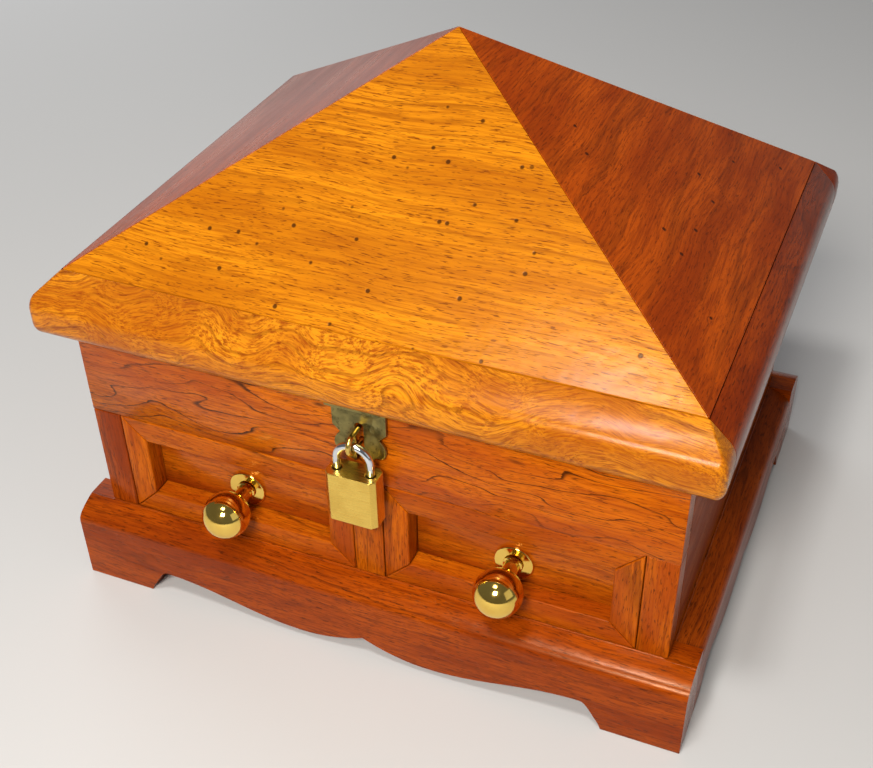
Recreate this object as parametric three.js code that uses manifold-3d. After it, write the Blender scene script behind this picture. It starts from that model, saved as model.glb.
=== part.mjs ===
// A hardwood keepsake box: a scalloped plinth, a case with two framed drawers, and a
// hinged lid shaped as a four-sided pyramid roof. A hasp, staple and small padlock
// close it in front. Millimetres, +Z up, front towards -Y.
import * as THREE from 'three';
import { mergeVertices } from 'three/addons/utils/BufferGeometryUtils.js';
import Module from 'manifold-3d';

const wasm = await Module();
wasm.setup();

// ---- driving dimensions ----------------------------------------------------------

const GLUE_GAP = 0.3; // between fixed pieces that touch
const MITRE_GAP = 0.2; // between two mitred ends
const SLIDE_GAP = 0.4; // between a drawer and its tunnel

const CASE_WIDTH = 240;
const CASE_DEPTH = 190;
const WALL = 10; // case boards
const PLINTH_OVERHANG = 11; // plinth face beyond the case
const PLINTH_OUTER_HEIGHT = 31.5;
const PLINTH_HEIGHT = 36.5; // where the bevel meets the case
const DRAWER_ZONE_HEIGHT = 48.5; // from plinth to top rail
const RAIL_HEIGHT = 39; // front rail over the drawers
const FLOOR_THICKNESS = 6; // board under the upper compartment

const FOOT_LENGTH = 31;
const FOOT_SWEEP = 15; // ogee from the foot up to the arch
const ARCH_HEIGHT = 12.5;
const LOBE_DISTANCE = 28; // lobes either side of the centre cusp
const LOBE_HEIGHT = 3.5;
const CUSP_HEIGHT = 10;

const STILE_WIDTH = 12.2; // front, at each end of the drawer zone
const PARTITION_THICKNESS = 12.4; // its front edge is the centre stile
const FRAME_WIDTH = 10.5; // mitred strips around each drawer
const FRAME_DEPTH = 16;
const PANEL_RECESS = 8; // drawer front behind the strips' face

const DRAWER_FRONT_THICKNESS = 6;
const DRAWER_SIDE_THICKNESS = 6;
const DRAWER_BOTTOM_THICKNESS = 3;
const DRAWER_BOTTOM_LIFT = 0.8; // bottom board above the sides' lower edge
const DRAWER_SIDE_DROP = 2; // sides end this far below the front's top edge

const KNOB_RADIUS = 9.5;
const KNOB_REACH = 18; // ball centre in front of the drawer front
const KNOB_MARGIN = 1.5; // between the rose and the lower strip
const STEM_RADIUS = 3.2;
const ROSE_RADIUS = 7.9;
const ROSE_THICKNESS = 1.2;
const SCREW_RADIUS = 1.9;
const SCREW_CLEARANCE = 0.4; // round the screw's shank
const SCREW_HEAD_RADIUS = 3.8;
const SCREW_HEAD_THICKNESS = 2.4;
const SCREW_GRIP = 6.5; // length of screw inside the knob stem
const SCREW_END_ROOM = 1.5; // hole beyond the screw's tip

const LID_OVERHANG_SIDE = 12;
const LID_OVERHANG_FRONT = 11; // and at the back
const RIM_CORNER_RADIUS = 4;
const RIM_CORNER_MIN_RADIUS = 0.6; // where the rim's top runs in past that radius
const RIM_LOWER_ROUND = 5.5;
const RIM_UPPER_ROUND = 8;
const SEAM_INSET_FRONT = 13; // from the rim's outer face to the roof boards, front and back
const SEAM_INSET_SIDE = 10;
const SEAM_HEIGHT = 24; // of that seam above the rim's underside
const RIM_SLOPE = 0.74; // rise over run of the front rim's top
const LEDGE_OVERLAP = 1; // the ledge under the roof boards runs this far into the rim's bar
const LEDGE_PITCH = 0.45; // its rise over run, less than any roof board's
const ROOF_HEIGHT = 75; // apex above the seam
const ROOF_THICKNESS = 10; // measured straight down

const HINGE_POSITION = 70; // from the centre line
const HINGE_LENGTH = 26;
const KNUCKLE_RADIUS = 2;
const KNUCKLE_GAP = 0.3;
const PIN_RADIUS = 1;
const PIN_CLEARANCE = 0.3; // round the pin, in the knuckles
const LEAF_THICKNESS = 1;
const LOWER_LEAF_HEIGHT = 13.5;
const UPPER_LEAF_DEPTH = 5.5;

const HASP_WIDTH = 21.5;
const HASP_THICKNESS = 1.2;
const HASP_STANDOFF = 0.8; // plate in front of the rail
const HASP_LENGTH = 28.5;
const HASP_FLANGE = 6.2; // bent out under the rim
const HASP_SLOT_CLEARANCE = 0.7; // each side of the staple's wire
const HASP_SLOT_ROOM = 0.9; // above the staple's upper leg
const HASP_FORK = { // one side of the plate's lower end: [inwards from the side, up from the end]
  shoulder: [0, 15],
  notch: [3, 12],
  lobeTop: [1.6, 10.4],
  lobe: [-1, 6.5],
  lobeBottom: [2, 3.4],
  hollow: [5.5, 4.2],
  toe: [6, 1],
};

const STAPLE_WIRE_RADIUS = 1;
const STAPLE_SPACING = 7; // between its two legs
const STAPLE_TIP_GAP = 0.8; // between the shackle bow and the staple's tip
const STAPLE_GRIP = 7; // leg length inside the rail
const STAPLE_CLEARANCE = 0.3; // round its legs, in the rail
const STAPLE_DROP = 12.3; // upper leg below the lid
const BOW_REST_GAP = 0.3; // shackle bow above the staple's lower leg

const SHACKLE_RADIUS = 1.5;
const SHACKLE_SPACING = 13.5;
const SHACKLE_CLEARANCE = 10; // body top to the inside of the bow
const LONG_LEG = 16; // inside the lock body
const SHORT_LEG = 5.5;
const LEG_CLEARANCE = 0.4; // round the legs, in the lock body
const LEG_END_ROOM = 0.5;
const LOCK_WIDTH = 20.5;
const LOCK_HEIGHT = 22;
const LOCK_THICKNESS = 10;
const LOCK_STANDOFF = 3; // lock body in front of the case
const LOCK_CHAMFER = 2;
const PLUG_RADIUS = 3.2;
const PLUG_CLEARANCE = 0.3;
const PLUG_LENGTH = 14.5;
const PLUG_RECESS = 0.2;
const PLUG_END_ROOM = 0.3;
const KEYWAY_WIDTH = 0.9;
const KEYWAY_HEIGHT = 4.2;
const KEYWAY_DEPTH = 12;

// ---- places worked out from them -------------------------------------------------

const caseX = CASE_WIDTH / 2;
const wallX = caseX - WALL;
const zoneBottom = PLINTH_HEIGHT + GLUE_GAP;
const railBottom = PLINTH_HEIGHT + DRAWER_ZONE_HEIGHT;
const zoneTop = railBottom - GLUE_GAP;
const lidBottom = railBottom + RAIL_HEIGHT;
const caseTop = lidBottom - GLUE_GAP;
const backInner = CASE_DEPTH - WALL - GLUE_GAP;

const frameInnerX = PARTITION_THICKNESS / 2 + GLUE_GAP;
const frameOuterX = caseX - STILE_WIDTH - GLUE_GAP;
const drawerX = (frameInnerX + frameOuterX) / 2;
const openingWidth = frameOuterX - frameInnerX - 2 * FRAME_WIDTH;
const openingBottom = zoneBottom + FRAME_WIDTH;
const openingTop = zoneTop - FRAME_WIDTH;
const insideFront = FRAME_DEPTH + GLUE_GAP;
const floorBottom = openingTop + GLUE_GAP + SLIDE_GAP;

const drawerWidth = openingWidth - 2 * SLIDE_GAP;
const drawerBottom = openingBottom + SLIDE_GAP;
const drawerTop = openingTop - SLIDE_GAP;
const drawerBack = backInner - GLUE_GAP;
const knobZ = openingBottom + KNOB_MARGIN + ROSE_RADIUS;
const screwHoleRadius = SCREW_RADIUS + SCREW_CLEARANCE;

const lidCentreY = CASE_DEPTH / 2;
const lidX = caseX + LID_OVERHANG_SIDE; // half the lid's width
const lidY = CASE_DEPTH / 2 + LID_OVERHANG_FRONT; // half its depth
const seamX = lidX - SEAM_INSET_SIDE;
const seamY = lidY - SEAM_INSET_FRONT;
const seamZ = lidBottom + SEAM_HEIGHT;
const rimInnerX = caseX - WALL;
const rimInnerY = CASE_DEPTH / 2 - WALL;

const hingeY = CASE_DEPTH + GLUE_GAP + KNUCKLE_RADIUS;
const hingeZ = lidBottom - GLUE_GAP - KNUCKLE_RADIUS;

const shacklePlane = LOCK_STANDOFF + LOCK_THICKNESS / 2; // in front of the case
const stapleTop = lidBottom - STAPLE_DROP;
const stapleBottom = stapleTop - STAPLE_SPACING;
const bowZ = stapleBottom + STAPLE_WIRE_RADIUS + BOW_REST_GAP + SHACKLE_RADIUS;
const lockTop = bowZ - SHACKLE_RADIUS - SHACKLE_CLEARANCE;
const lockBottom = lockTop - LOCK_HEIGHT;

const frontReach = -(KNOB_REACH - PANEL_RECESS + KNOB_RADIUS);
const backReach = CASE_DEPTH + Math.max(PLINTH_OVERHANG, LID_OVERHANG_FRONT);

// ---- materials -------------------------------------------------------------------

function material(color, roughness, metalness) {
  return new THREE.MeshStandardMaterial({ color, roughness, metalness });
}

const caseWood = material('#9c4a14', 0.25, 0);
const roofWood = material('#c8781f', 0.2, 0);
const rimWood = material('#a8551a', 0.2, 0);
const innerWood = material('#a9713f', 0.6, 0);
const knobBrass = material('#d9a93a', 0.1, 1);
const lockBrass = material('#c9a648', 0.3, 1);
const oldBrass = material('#8f7a45', 0.4, 1);
const shackleSteel = material('#c8ccd2', 0.1, 1);

// ---- solid helpers ---------------------------------------------------------------

// Merges equal corners, drops triangles with no area and turns all faces outwards.
function closed(geometry) {
  geometry.deleteAttribute('normal');
  geometry.deleteAttribute('uv');
  const merged = mergeVertices(geometry, 1e-4);
  const index = merged.index.array;
  const corner = (i) => new THREE.Vector3().fromBufferAttribute(merged.attributes.position, i);
  const kept = [];
  let volume = 0;
  for (let i = 0; i < index.length; i += 3) {
    const [a, b, c] = [index[i], index[i + 1], index[i + 2]];
    if (a === b || b === c || c === a) continue;
    kept.push(a, b, c);
    volume += corner(a).dot(corner(b).cross(corner(c)));
  }
  merged.setIndex(volume < 0 ? kept.reverse() : kept);
  return merged;
}

function toManifold(geometry) {
  const mesh = closed(geometry);
  return new wasm.Manifold(new wasm.Mesh({
    numProp: 3,
    vertProperties: new Float32Array(mesh.attributes.position.array),
    triVerts: new Uint32Array(mesh.index.array),
  }));
}

function toGeometry(manifold) {
  const mesh = manifold.getMesh();
  const geometry = new THREE.BufferGeometry();
  geometry.setAttribute('position', new THREE.BufferAttribute(mesh.vertProperties, 3));
  geometry.setIndex(new THREE.BufferAttribute(mesh.triVerts, 1));
  return geometry;
}

function cut(base, ...tools) {
  return toGeometry(tools.reduce((left, tool) => left.subtract(toManifold(tool)), toManifold(base)));
}

function common(first, second) {
  return toGeometry(toManifold(first).intersect(toManifold(second)));
}

function join(base, ...others) {
  return toGeometry(others.reduce((sum, other) => sum.add(toManifold(other)), toManifold(base)));
}

const point = (x, y, z) => new THREE.Vector3(x, y, z);

// A box between two limits on each axis.
function block([x0, x1], [y0, y1], [z0, z1]) {
  const geometry = new THREE.BoxGeometry(x1 - x0, y1 - y0, z1 - z0);
  return geometry.translate((x0 + x1) / 2, (y0 + y1) / 2, (z0 + z1) / 2);
}

function cylinderY(radius, y0, y1, x, z, segments = 24) {
  const geometry = new THREE.CylinderGeometry(radius, radius, y1 - y0, segments);
  return geometry.translate(x, (y0 + y1) / 2, z);
}

function cylinderX(radius, x0, x1, y, z, segments = 24) {
  const geometry = new THREE.CylinderGeometry(radius, radius, x1 - x0, segments);
  return geometry.rotateZ(Math.PI / 2).translate((x0 + x1) / 2, y, z);
}

function cylinderZ(radius, z0, z1, x, y, segments = 24) {
  const geometry = new THREE.CylinderGeometry(radius, radius, z1 - z0, segments);
  return geometry.rotateX(Math.PI / 2).translate(x, y, (z0 + z1) / 2);
}

// Joins rings of corners that follow the same flat outline, and closes both ends.
function skin(outline, rings) {
  const corners = rings.flat();
  const faces = [];
  const count = outline.length;
  for (let ring = 0; ring + 1 < rings.length; ring += 1) {
    for (let i = 0; i < count; i += 1) {
      const next = (i + 1) % count;
      const [a, b] = [ring * count + i, ring * count + next];
      faces.push(a, b, b + count, a, b + count, a + count);
    }
  }
  const last = (rings.length - 1) * count;
  for (const [a, b, c] of THREE.ShapeUtils.triangulateShape(outline, [])) {
    faces.push(c, b, a, last + a, last + b, last + c);
  }
  const geometry = new THREE.BufferGeometry();
  const positions = corners.flatMap((corner) => corner.toArray());
  geometry.setAttribute('position', new THREE.Float32BufferAttribute(positions, 3));
  geometry.setIndex(faces);
  return geometry;
}

// Sweeps a flat outline through places; each place turns an outline point into a corner.
function loft(section, places) {
  const outline = THREE.ShapeUtils.isClockWise(section) ? [...section].reverse() : section;
  return skin(outline, places.map((place) => outline.map((corner) => place(corner))));
}

// Straight wire runs joined by a half circle, for the staple and the shackle.
class HoopCurve extends THREE.Curve {
  constructor(start, bendStart, across, end) {
    super();
    this.centre = bendStart.clone().addScaledVector(across, 0.5);
    this.side = across.clone().multiplyScalar(-0.5);
    this.forward = bendStart.clone().sub(start).normalize().multiplyScalar(this.side.length());
    this.start = start;
    this.bendStart = bendStart;
    this.bendEnd = bendStart.clone().add(across);
    this.end = end;
    const bend = Math.PI * this.side.length();
    this.lengths = [start.distanceTo(bendStart), bend, this.bendEnd.distanceTo(end)];
  }

  getPoint(t, target = new THREE.Vector3()) {
    const [first, bend, last] = this.lengths;
    const run = t * (first + bend + last);
    if (run <= first) return target.lerpVectors(this.start, this.bendStart, run / first);
    if (run >= first + bend) {
      return target.lerpVectors(this.bendEnd, this.end, (run - first - bend) / last);
    }
    const angle = Math.PI * ((run - first) / bend);
    target.copy(this.centre).addScaledVector(this.side, Math.cos(angle));
    return target.addScaledVector(this.forward, Math.sin(angle));
  }
}

function wire(curve, radius, sides, steps) {
  const section = new THREE.Shape();
  section.absarc(0, 0, radius, 0, 2 * Math.PI);
  const settings = { extrudePath: curve, steps, curveSegments: sides, bevelEnabled: false };
  return new THREE.ExtrudeGeometry(section, settings);
}

const group = new THREE.Group();
group.position.y = -(frontReach + backReach) / 2;

function addPiece(name, geometry, finish) {
  const mesh = new THREE.Mesh(closed(geometry), finish);
  mesh.name = name;
  group.add(mesh);
}

// ---- plinth ----------------------------------------------------------------------

// Height of a plinth board's lower edge at a distance from its middle.
function scallop(distance, halfLength, cuspHeight) {
  const foot = halfLength - FOOT_LENGTH;
  const arch = foot - FOOT_SWEEP;
  const away = Math.abs(distance);
  const blend = (t) => (1 - Math.cos(Math.PI * t)) / 2;
  if (away >= foot) return 0;
  if (away >= arch) return ARCH_HEIGHT * blend((foot - away) / FOOT_SWEEP);
  if (away >= LOBE_DISTANCE) {
    const rise = blend((away - LOBE_DISTANCE) / (arch - LOBE_DISTANCE));
    return LOBE_HEIGHT + (ARCH_HEIGHT - LOBE_HEIGHT) * rise;
  }
  return LOBE_HEIGHT + (cuspHeight - LOBE_HEIGHT) * (1 - away / LOBE_DISTANCE) ** 2;
}

// Outline across a plinth board: x counts inwards from its outer face, y is height.
function plinthSection() {
  const bevelSteps = 3;
  const outline = [new THREE.Vector2(0, 0), new THREE.Vector2(PLINTH_OVERHANG + WALL, 0)];
  outline.push(new THREE.Vector2(PLINTH_OVERHANG + WALL, PLINTH_HEIGHT));
  for (let i = 0; i <= bevelSteps; i += 1) {
    const t = i / bevelSteps;
    const inward = PLINTH_OVERHANG * (1 - t);
    const drop = (PLINTH_HEIGHT - PLINTH_OUTER_HEIGHT) * (t + t * t) / 2;
    outline.push(new THREE.Vector2(inward, PLINTH_HEIGHT - drop));
  }
  return outline;
}

// A board of the given length; toWorld places (along, inward, height).
function plinthBoard(from, to, halfLength, toWorld) {
  const stations = 48;
  const places = [];
  for (let i = 0; i <= stations; i += 1) {
    const along = from + ((to - from) * i) / stations;
    const edge = scallop(along, halfLength, CUSP_HEIGHT);
    places.push((p) => toWorld(along, p.x, p.y === 0 ? edge : p.y));
  }
  return loft(plinthSection(), places);
}

function addPlinth() {
  const outerX = caseX + PLINTH_OVERHANG;
  const outerY = CASE_DEPTH / 2 + PLINTH_OVERHANG;
  const sideHalf = CASE_DEPTH / 2 - WALL - GLUE_GAP;
  const centreY = CASE_DEPTH / 2;
  for (const [name, side] of [['plinth_front', -1], ['plinth_back', 1]]) {
    const place = (along, inward, z) => point(along, centreY + side * (outerY - inward), z);
    addPiece(name, plinthBoard(-outerX, outerX, outerX, place), caseWood);
  }
  for (const [name, side] of [['plinth_left', -1], ['plinth_right', 1]]) {
    const place = (along, inward, z) => point(side * (outerX - inward), centreY + along, z);
    addPiece(name, plinthBoard(-sideHalf, sideHalf, outerY, place), caseWood);
  }
}

// ---- case ------------------------------------------------------------------------

function addCase() {
  const insideX = wallX - GLUE_GAP;
  const front = [0, WALL];
  const between = [WALL + GLUE_GAP, backInner];
  const inside = [insideFront, backInner];
  const fullHeight = [zoneBottom, caseTop];

  addPiece('case_back', block([-caseX, caseX], [CASE_DEPTH - WALL, CASE_DEPTH], fullHeight), caseWood);
  addPiece('case_left', block([-caseX, -wallX], between, fullHeight), caseWood);
  addPiece('case_right', block([wallX, caseX], between, fullHeight), caseWood);

  const rail = block([-caseX, caseX], front, [railBottom, caseTop]);
  const holeRadius = STAPLE_WIRE_RADIUS + STAPLE_CLEARANCE;
  const holes = [stapleTop, stapleBottom].map(
    (z) => cylinderY(holeRadius, -1, STAPLE_GRIP + GLUE_GAP, 0, z),
  );
  addPiece('top_rail', cut(rail, ...holes), caseWood);

  for (const [name, side] of [['end_stile_left', -1], ['end_stile_right', 1]]) {
    const reach = [side * (caseX - STILE_WIDTH), side * caseX].sort((a, b) => a - b);
    addPiece(name, block(reach, front, [zoneBottom, zoneTop]), caseWood);
  }

  addPiece('case_bottom', block([-insideX, insideX], inside, [zoneBottom, openingBottom]), innerWood);
  const floorZ = [floorBottom, floorBottom + FLOOR_THICKNESS];
  addPiece('compartment_floor', block([-insideX, insideX], inside, floorZ), innerWood);
}

// The partition stands between the drawers; its front end is the full-height stile.
function addPartition() {
  const low = openingBottom + GLUE_GAP;
  const high = floorBottom - GLUE_GAP;
  const outline = new THREE.Shape([
    new THREE.Vector2(0, zoneBottom),
    new THREE.Vector2(FRAME_DEPTH, zoneBottom),
    new THREE.Vector2(FRAME_DEPTH, low),
    new THREE.Vector2(backInner, low),
    new THREE.Vector2(backInner, high),
    new THREE.Vector2(FRAME_DEPTH, high),
    new THREE.Vector2(FRAME_DEPTH, zoneTop),
    new THREE.Vector2(0, zoneTop),
  ]);
  const board = new THREE.ExtrudeGeometry(outline, { depth: PARTITION_THICKNESS, bevelEnabled: false });
  board.rotateX(Math.PI / 2).rotateZ(Math.PI / 2).translate(-PARTITION_THICKNESS / 2, 0, 0);
  addPiece('drawer_partition', board, caseWood);

  const height = [low, high];
  const inner = [frameInnerX, frameInnerX + FRAME_WIDTH - SLIDE_GAP];
  const outer = [frameOuterX - FRAME_WIDTH + SLIDE_GAP, wallX - GLUE_GAP];
  const run = [insideFront, backInner];
  const mirrored = ([a, b]) => [-b, -a];
  addPiece('drawer_guide_right_inner', block(inner, run, height), innerWood);
  addPiece('drawer_guide_right_outer', block(outer, run, height), innerWood);
  addPiece('drawer_guide_left_inner', block(mirrored(inner), run, height), innerWood);
  addPiece('drawer_guide_left_outer', block(mirrored(outer), run, height), innerWood);
}

// Four mitred strips around one drawer opening.
function addDrawerFrame(side, centreX) {
  const halfWidth = (frameOuterX - frameInnerX) / 2;
  const halfHeight = (zoneTop - zoneBottom) / 2;
  const centreZ = (zoneTop + zoneBottom) / 2;
  const strip = (long, short, turn) => {
    const trim = MITRE_GAP / 2;
    const outline = new THREE.Shape([
      new THREE.Vector2(-long + trim, short),
      new THREE.Vector2(-long + FRAME_WIDTH + trim, short - FRAME_WIDTH),
      new THREE.Vector2(long - FRAME_WIDTH - trim, short - FRAME_WIDTH),
      new THREE.Vector2(long - trim, short),
    ]);
    const board = new THREE.ExtrudeGeometry(outline, { depth: FRAME_DEPTH, bevelEnabled: false });
    return board.rotateZ(turn).rotateX(Math.PI / 2).translate(centreX, FRAME_DEPTH, centreZ);
  };
  addPiece(`${side}_frame_top`, strip(halfWidth, halfHeight, 0), caseWood);
  addPiece(`${side}_frame_bottom`, strip(halfWidth, halfHeight, Math.PI), caseWood);
  addPiece(`${side}_frame_left`, strip(halfHeight, halfWidth, Math.PI / 2), caseWood);
  addPiece(`${side}_frame_right`, strip(halfHeight, halfWidth, -Math.PI / 2), caseWood);
}

// ---- drawers ---------------------------------------------------------------------

function addDrawer(side, centreX) {
  const left = centreX - drawerWidth / 2;
  const right = centreX + drawerWidth / 2;
  const frontBack = PANEL_RECESS + DRAWER_FRONT_THICKNESS;
  const sideY = [frontBack + GLUE_GAP, drawerBack];
  const sideZ = [drawerBottom, drawerTop - DRAWER_SIDE_DROP];
  const leftSide = [left, left + DRAWER_SIDE_THICKNESS];
  const rightSide = [right - DRAWER_SIDE_THICKNESS, right];
  const innerX = [leftSide[1] + GLUE_GAP, rightSide[0] - GLUE_GAP];
  const backY = [drawerBack - DRAWER_SIDE_THICKNESS, drawerBack];
  const bottomY = [frontBack + GLUE_GAP, backY[0] - GLUE_GAP];
  const bottomZ = drawerBottom + DRAWER_BOTTOM_LIFT;

  const panel = block([left, right], [PANEL_RECESS, frontBack], [drawerBottom, drawerTop]);
  const hole = cylinderY(screwHoleRadius, PANEL_RECESS - 1, frontBack + 1, centreX, knobZ);
  addPiece(`${side}_drawer_front`, cut(panel, hole), caseWood);
  addPiece(`${side}_drawer_side_left`, block(leftSide, sideY, sideZ), innerWood);
  addPiece(`${side}_drawer_side_right`, block(rightSide, sideY, sideZ), innerWood);
  addPiece(`${side}_drawer_back`, block(innerX, backY, sideZ), innerWood);
  const bottom = block(innerX, bottomY, [bottomZ, bottomZ + DRAWER_BOTTOM_THICKNESS]);
  addPiece(`${side}_drawer_bottom`, bottom, innerWood);
}

// Ball and stem turned in one, seen from its axis: x is radius, y runs to the front.
function knobProfile(stemBack, ballFront) {
  const arcSteps = 14;
  const holeEnd = stemBack - SCREW_GRIP - SCREW_END_ROOM;
  const ballY = ballFront + KNOB_RADIUS;
  const neck = Math.asin(STEM_RADIUS / KNOB_RADIUS);
  const profile = [
    new THREE.Vector2(0, holeEnd),
    new THREE.Vector2(screwHoleRadius, holeEnd),
    new THREE.Vector2(screwHoleRadius, stemBack),
    new THREE.Vector2(STEM_RADIUS, stemBack),
  ];
  for (let i = 0; i <= arcSteps; i += 1) {
    const angle = neck + ((Math.PI - neck) * i) / arcSteps;
    const radius = i === arcSteps ? 0 : KNOB_RADIUS * Math.sin(angle);
    profile.push(new THREE.Vector2(radius, ballY + KNOB_RADIUS * Math.cos(angle)));
  }
  return profile;
}

function addKnob(side, centreX) {
  const turned = 24;
  const roseBack = PANEL_RECESS - GLUE_GAP;
  const roseFront = roseBack - ROSE_THICKNESS;
  const stemBack = roseFront - GLUE_GAP;
  const ballFront = PANEL_RECESS - KNOB_REACH - KNOB_RADIUS;

  const rose = cylinderY(ROSE_RADIUS, roseFront, roseBack, centreX, knobZ);
  const roseHole = cylinderY(screwHoleRadius, roseFront - 1, roseBack + 1, centreX, knobZ);
  addPiece(`${side}_knob_rose`, cut(rose, roseHole), knobBrass);

  const knob = new THREE.LatheGeometry(knobProfile(stemBack, ballFront), turned);
  addPiece(`${side}_knob`, knob.translate(centreX, 0, knobZ), knobBrass);

  const headFront = PANEL_RECESS + DRAWER_FRONT_THICKNESS + GLUE_GAP;
  const screw = [
    new THREE.Vector2(0, stemBack - SCREW_GRIP),
    new THREE.Vector2(SCREW_RADIUS, stemBack - SCREW_GRIP),
    new THREE.Vector2(SCREW_RADIUS, headFront),
    new THREE.Vector2(SCREW_HEAD_RADIUS, headFront),
    new THREE.Vector2(SCREW_HEAD_RADIUS, headFront + SCREW_HEAD_THICKNESS),
    new THREE.Vector2(0, headFront + SCREW_HEAD_THICKNESS),
  ];
  const turnedScrew = new THREE.LatheGeometry(screw, turned);
  addPiece(`${side}_knob_screw`, turnedScrew.translate(centreX, 0, knobZ), shackleSteel);
}

// ---- lid -------------------------------------------------------------------------

function arc(centreX, centreY, radius, from, to) {
  const steps = 5;
  const points = [];
  for (let i = 0; i <= steps; i += 1) {
    const angle = from + ((to - from) * i) / steps;
    const x = centreX + radius * Math.cos(angle);
    points.push(new THREE.Vector2(x, centreY + radius * Math.sin(angle)));
  }
  return points;
}

// The rim's outer face from its underside up to the seam, at the front and back: x counts
// inwards from the face, y is height. At the sides it is narrower by the two insets' ratio.
function rimProfile() {
  const pitch = Math.atan(RIM_SLOPE);
  const upperZ = seamZ - SEAM_INSET_FRONT * RIM_SLOPE; // where the slope would meet the face
  const tangent = RIM_UPPER_ROUND * Math.tan((Math.PI / 2 - pitch) / 2);
  return [
    ...arc(RIM_LOWER_ROUND, lidBottom + RIM_LOWER_ROUND, RIM_LOWER_ROUND, -Math.PI / 2, -Math.PI),
    ...arc(RIM_UPPER_ROUND, upperZ - tangent, RIM_UPPER_ROUND, Math.PI, Math.PI / 2 + pitch),
    new THREE.Vector2(SEAM_INSET_FRONT, seamZ),
  ];
}

function roundedRectangle(halfX, halfY, radius) {
  const [x, y] = [halfX - radius, halfY - radius];
  const quarter = Math.PI / 2;
  return [
    ...arc(x, y, radius, 0, quarter),
    ...arc(-x, y, radius, quarter, 2 * quarter),
    ...arc(-x, -y, radius, 2 * quarter, 3 * quarter),
    ...arc(x, -y, radius, 3 * quarter, 4 * quarter),
  ];
}

// The lid from its underside to the seam as one solid, from which the rim's bars are cut.
function lidBlock() {
  const sideShare = SEAM_INSET_SIDE / SEAM_INSET_FRONT;
  const layers = rimProfile().map((p) => {
    const radius = Math.max(RIM_CORNER_RADIUS - p.x, RIM_CORNER_MIN_RADIUS);
    return { z: p.y, outline: roundedRectangle(lidX - p.x * sideShare, lidY - p.x, radius) };
  });
  const rings = layers.map(({ z, outline }) => outline.map((c) => point(c.x, lidCentreY + c.y, z)));
  return skin(layers[0].outline, rings);
}

// Ledge inside one bar, under the roof boards. Its ends slant to meet the ledges beside it.
function ledge(seamHalf, innerHalf, seamInset, innerInset, toWorld) {
  const low = seamZ - ROOF_THICKNESS - GLUE_GAP;
  const section = [
    new THREE.Vector2(seamInset - LEDGE_OVERLAP, lidBottom),
    new THREE.Vector2(seamInset, lidBottom),
    new THREE.Vector2(innerInset, lidBottom),
    new THREE.Vector2(innerInset, low + (innerInset - seamInset) * LEDGE_PITCH),
    new THREE.Vector2(seamInset, low),
    new THREE.Vector2(seamInset - LEDGE_OVERLAP, low),
  ];
  const end = (side) => (p) => {
    const along = p.x === innerInset ? innerHalf : seamHalf;
    return toWorld(side * (along - GLUE_GAP), p.x, p.y);
  };
  return loft(section, [end(-1), end(1)]);
}

// One roof board over a plan triangle; its hips and its seam edge are plumb cuts.
function roofBoard(halfLength, run, toWorld) {
  const pitch = ROOF_HEIGHT / run;
  const hip = Math.hypot(halfLength, run);
  const hipTrim = ((MITRE_GAP / 2) * hip) / run; // along the seam
  const apexTrim = ((MITRE_GAP / 2) * hip) / halfLength;
  const seamTrim = GLUE_GAP;
  const atSeam = halfLength - hipTrim - (seamTrim * halfLength) / run;
  const outline = [
    new THREE.Vector2(-atSeam, seamTrim),
    new THREE.Vector2(atSeam, seamTrim),
    new THREE.Vector2(0, run - apexTrim),
  ];
  const top = (p) => toWorld(p.x, p.y, seamZ + pitch * p.y);
  const under = (p) => toWorld(p.x, p.y, seamZ + pitch * p.y - ROOF_THICKNESS);
  return loft(outline, [under, top]);
}

// The front and back bars run the lid's whole width, and the side bars butt between them.
function addLid() {
  const whole = lidBlock();
  const height = [lidBottom - 1, seamZ + 1];
  for (const [name, side] of [['front', -1], ['back', 1]]) {
    const place = (along, inward, z) => point(along, lidCentreY + side * (lidY - inward), z);
    const roofPlace = (along, inward, z) => point(along, lidCentreY + side * (seamY - inward), z);
    const reach = [seamY, lidY + 1].map((y) => lidCentreY + side * y).sort((a, b) => a - b);
    const bar = common(whole, block([-lidX - 1, lidX + 1], reach, height));
    const shelf = ledge(seamX, rimInnerX, SEAM_INSET_FRONT, lidY - rimInnerY, place);
    addPiece(`rim_${name}`, join(bar, shelf), rimWood);
    addPiece(`roof_${name}`, roofBoard(seamX, seamY, roofPlace), roofWood);
  }
  for (const [name, side] of [['left', -1], ['right', 1]]) {
    const place = (along, inward, z) => point(side * (lidX - inward), lidCentreY + along, z);
    const roofPlace = (along, inward, z) => point(side * (seamX - inward), lidCentreY + along, z);
    const reach = [seamX, lidX + 1].map((x) => side * x).sort((a, b) => a - b);
    const run = [lidCentreY - seamY + GLUE_GAP, lidCentreY + seamY - GLUE_GAP];
    const bar = common(whole, block(reach, run, height));
    const shelf = ledge(seamY, rimInnerY, SEAM_INSET_SIDE, lidX - rimInnerX, place);
    addPiece(`rim_${name}`, join(bar, shelf), rimWood);
    addPiece(`roof_${name}`, roofBoard(seamY, seamX, roofPlace), roofWood);
  }
}

// ---- hinges ----------------------------------------------------------------------

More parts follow.
